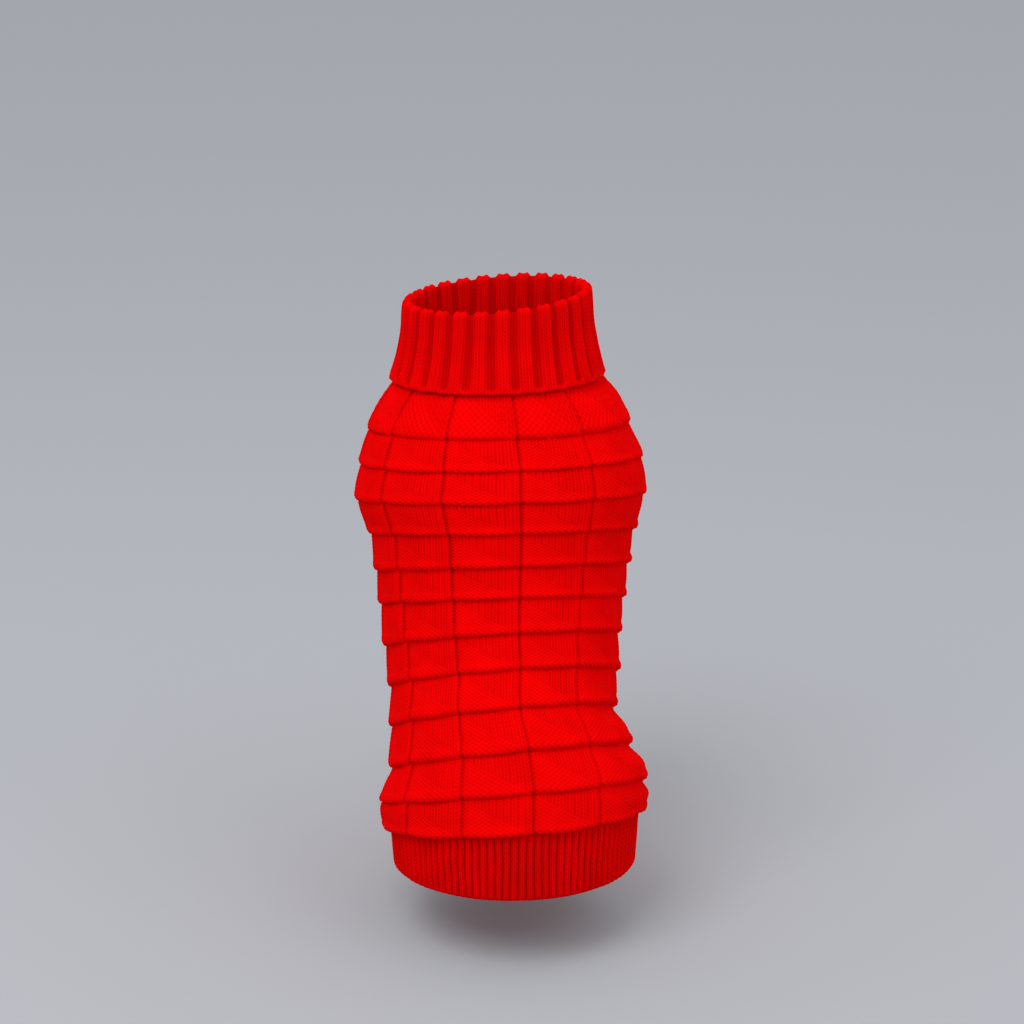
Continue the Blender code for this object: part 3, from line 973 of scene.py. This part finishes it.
def chest_ring(side, radius, columns, offset):
    """Points on the chest, at a distance from the leg's axis, and the directions that lead away from it."""
    per_degree = math.radians(form("half_width", LEG_DROP))
    turn = 2 * math.pi * np.arange(columns) / columns

    def on_chest(distance):
        drop = LEG_DROP + distance * np.cos(turn)
        angle = side * (SEAM_ANGLE + distance * np.sin(turn) / per_degree)
        return ring_points(drop, angle, offset)

    def within(distance):
        return np.linalg.norm(from_leg_axis(on_chest(distance), side), axis=-1) < radius

    ring = on_chest(bisect(np.zeros(columns), np.full(columns, 2.0 * radius), within))
    away = from_leg_axis(ring, side)
    return ring, away / np.linalg.norm(away, axis=-1, keepdims=True)


def leg_cuff(name, node, side):
    _, direction = leg_axis(side)
    radius = LEG_RADIUS - CUFF_CLEARANCE
    columns = CUFF_RIBS * RIB_PERIOD * STEPS_A_STITCH
    foot, reach = chest_ring(side, radius, columns, 0.0)
    ridge, _ = chest_ring(side, radius + CUFF_RIDGE, columns, 0.6)
    under, _ = chest_ring(side, radius + CUFF_RIDGE - 0.4, columns, -1.8)
    # out from the tube's face, along the leg, how much of the relief is worked there
    stations = [
        (0.0, 2.2, 1),
        (0.0, CUFF_LENGTH - 1, 1),
        (-RIB_WALL / 2, CUFF_LENGTH, 0.5),
        (-RIB_WALL, CUFF_LENGTH - 1, 0.3),
        (-RIB_WALL, -CUFF_INSIDE, 0),
        (0.0, -CUFF_INSIDE, 0),
    ]
    section = spread(stations, [10, 2, 2, 8, 1, 1])
    loops = [foot + reach * out + direction * along for out, along, _ in section]
    worked = [row[2] for row in section]
    rise = [(CUFF_LENGTH - row[1]) / HEM_STITCH_WIDTH for row in section]
    outside = (under + ridge) / 2 + reach * 0.3
    inside = (ridge + loops[0]) / 2 + reach * 0.4 + direction * 0.5
    loops += [under, outside, ridge, inside]
    worked += [0, 0, 0.3, 0.6]
    rise += [FAR_FROM_EDGE] * 4
    points = np.array(loops)
    points = points if side > 0 else points[:, ::-1]
    settings = {
        "Stitches a Rib": float(RIB_PERIOD),
        "Valley Half Width": 0.38,
        "Cup Height": 0.5,
        "Rib Depth": 1.1 * MM,
        "Lip Height": 0.1 * MM,
        "Wale Groove": 0.0,
        "Leg Height": 0.12 * MM,
        "Sway": 0.25 * MM,
        "Seed": 30.0 + side,
    }
    cuff = rib_tube(name, points, worked, rise, CUFF_RIBS * RIB_PERIOD, HEM_ROW_HEIGHT, settings, HEM_RED)
    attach(cuff, "root")
    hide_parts(node)


leg_cuff("leg_cuff_left_rib", "leg_cuff_left", -1)
leg_cuff("leg_cuff_right_rib", "leg_cuff_right", 1)

# ---- Collar ------------------------------------------------------------------------------------------
# The roll neck, one knitted tube of wide two-and-two rib in the same yarn. It stands on the neck seam and
# is turned down over itself, so its cast-off edge hangs round the outside in a row of rounded cups.

CollarRing = namedtuple("CollarRing", "drop half_width")
COLLAR_OUTSIDE = [CollarRing(-33, 55.0), CollarRing(-14, 56.5), CollarRing(4, 60.5), CollarRing(12.5, 63.0)]
COLLAR_INSIDE_INSET = 3.0
COLLAR_LAYER_GAP = 0.6
COLLAR_FOLD_RISE = 3.0
COLLAR_RIBS = 27
COLLAR_RIB_PERIOD = 4
COLLAR_RIB_ANGLE = 3.4
COLLAR_ROW_HEIGHT = 2.4
COLLAR_STITCH_WIDTH = 3.4
COLLAR_FOLD_STEPS = 8
COLLAR_ROWS = 40
COLLAR_INNER_ROWS = 20

# The second red is painted shade, for the colour down in the rib valleys.
COLLAR_RED = yarn_material("collar_yarn", 0.93, 0.42)


def collar_section():
    """Drop, half-width, how much of the relief is worked, and the distance above the hanging edge in
    stitches, from the neck seam up inside, over the fold, down outside and back between the layers."""
    top = COLLAR_OUTSIDE[0].drop
    bottom = COLLAR_OUTSIDE[-1].drop
    inner_face = form("half_width", 0) - COLLAR_INSIDE_INSET
    inner_back = inner_face + RIB_WALL
    outer_top = COLLAR_OUTSIDE[0].half_width
    widths = [ring.half_width for ring in COLLAR_OUTSIDE]
    drops = [ring.drop for ring in COLLAR_OUTSIDE]
    rows = []
    for drop in np.linspace(0.0, top, COLLAR_INNER_ROWS + 1):
        rows.append((drop, inner_face, 0.8, FAR_FROM_EDGE))
    middle = (inner_face + outer_top) / 2
    half = (outer_top - inner_face) / 2
    for turn in np.linspace(0, math.pi, COLLAR_FOLD_STEPS + 1)[1:-1]:
        drop = top - COLLAR_FOLD_RISE * math.sin(turn)
        rows.append((drop, middle - half * math.cos(turn), 1.0, FAR_FROM_EDGE))
    for drop in np.linspace(top, bottom - 0.6, COLLAR_ROWS + 1):
        width = float(curve_through(drops, widths, drop))
        rows.append((drop, width, 1.0, (bottom - drop) / COLLAR_STITCH_WIDTH))
    lip = COLLAR_OUTSIDE[-1].half_width
    rows.append((bottom, lip - 0.5, 1.0, 0.0))
    rows.append((bottom + 0.2, lip - RIB_WALL / 2, 0.6, 0.0))
    rows.append((bottom - 0.4, lip - RIB_WALL, 0.3, 0.0))
    for ring in COLLAR_OUTSIDE[2:0:-1]:
        rows.append((ring.drop, ring.half_width - RIB_WALL, 0.0, FAR_FROM_EDGE))
    rows.append((top + 4, inner_back + COLLAR_LAYER_GAP, 0.0, FAR_FROM_EDGE))
    rows.append((top + 4, inner_back, 0.0, FAR_FROM_EDGE))
    rows.append((top / 2, inner_back, 0.0, FAR_FROM_EDGE))
    rows.append((0.0, inner_back, 0.0, FAR_FROM_EDGE))
    return np.array(rows)


def collar():
    stitches = COLLAR_RIBS * COLLAR_RIB_PERIOD
    columns = stitches * STEPS_A_STITCH
    angle = COLLAR_RIB_ANGLE + 360 * np.arange(columns) / columns
    drop, half_width, worked, rise = collar_section().T
    loops = [ring_points(d, angle, 0.0, w) for d, w in zip(drop, half_width)]
    settings = {
        "Stitches a Rib": float(COLLAR_RIB_PERIOD),
        "Valley Half Width": 0.85,
        "Cup Height": 1.35,
        "Rib Depth": 1.7 * MM,
        "Lip Height": 0.45 * MM,
        "Wale Groove": 0.25 * MM,
        "Leg Height": 0.15 * MM,
        "Sway": 0.35 * MM,
        "Seed": 40.0,
    }
    tube = rib_tube(
        "collar_rib", np.array(loops), worked, rise, stitches, COLLAR_ROW_HEIGHT, settings, COLLAR_RED
    )
    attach(tube, "root")
    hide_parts("collar")


collar()
